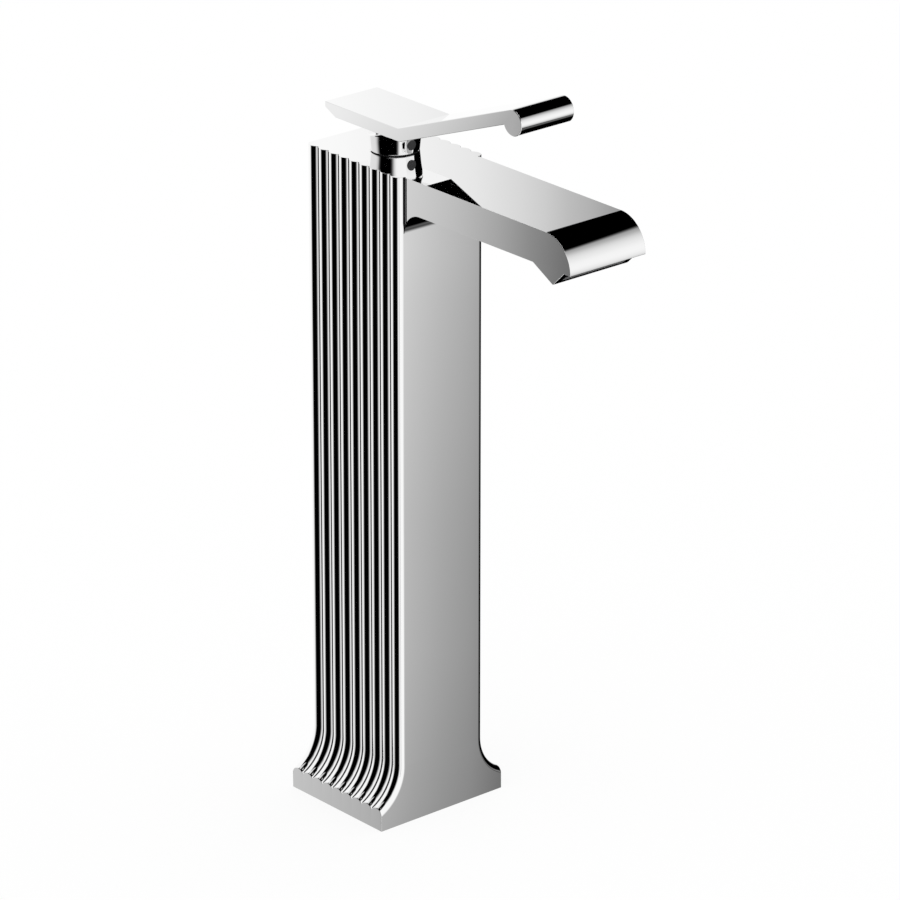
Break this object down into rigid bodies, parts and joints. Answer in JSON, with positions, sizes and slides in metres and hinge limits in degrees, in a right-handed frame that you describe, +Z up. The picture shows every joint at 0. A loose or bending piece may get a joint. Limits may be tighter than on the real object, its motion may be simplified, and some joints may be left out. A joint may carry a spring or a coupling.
{
  "type": "basin mixer tap",
  "caption": "Tall single-lever basin mixer: reeded column on a flared plinth, slab spout with slanting outlet, lifting and swivelling lever over a ceramic valve.",
  "frame": {"origin": "centre of the underside that stands on the deck", "axes": "+Z up the column, -Y along the spout towards the user, +X to the right seen from the front"},
  "size_m": [0.0694, 0.1661, 0.344],
  "materials": {
    "chrome_plated_brass": "polished chrome plate",
    "brass": "machined",
    "copper": "drawn tube",
    "steel": "turned stainless",
    "acetal": "moulded",
    "ceramic": "lapped",
    "outlet_plastic": "moulded",
    "index_plastic": "moulded",
    "rubber": "moulded"
  },
  "bodies": {
    "body": {"body_casting": "chrome_plated_brass", "outlet_frame": "outlet_plastic", "flow_straightener": "outlet_plastic", "outlet_seal": "rubber", "fixed_disc": "ceramic", "cartridge_base": "acetal", "cartridge_housing": "acetal", "turret_seal": "rubber", "valve_body": "brass", "outlet_o_ring": "rubber", "seat_plate": "brass", "seat_gasket": "rubber", "seat_screws": "steel", "collar": "chrome_plated_brass", "index_plug": "index_plastic", "collar_seal": "rubber", "hot_riser": "copper", "cold_riser": "copper", "riser_seals": "rubber", "base_block": "brass", "base_screws": "steel", "base_gasket": "rubber"},
    "turret": {"turret": "acetal", "pivot_pin": "steel"},
    "lever": {"lever": "chrome_plated_brass", "lever_grub_screw": "steel", "spindle": "steel"},
    "valve_disc": {"disc_driver": "acetal", "moving_disc": "ceramic"}
  },
  "joints": [
    {"name": "temperature_turn", "type": "hinge", "parent": "body", "child": "turret", "pos_m": [0, 0, 0.3], "axis": [0, 0, 1], "range_deg": [-45, 45]},
    {"name": "lever_lift", "type": "hinge", "parent": "turret", "child": "lever", "pos_m": [0, 0, 0.301], "axis": [-1, 0, 0], "range_deg": [0, 20]},
    {"name": "disc_slide", "type": "slide", "parent": "turret", "child": "valve_disc", "axis": [0, -1, 0], "range_m": [0, 0.003]}
  ],
  "couplings": [
    {"joint": "disc_slide", "follows": "lever_lift", "m_per_rad": 0.0085}
  ]
}
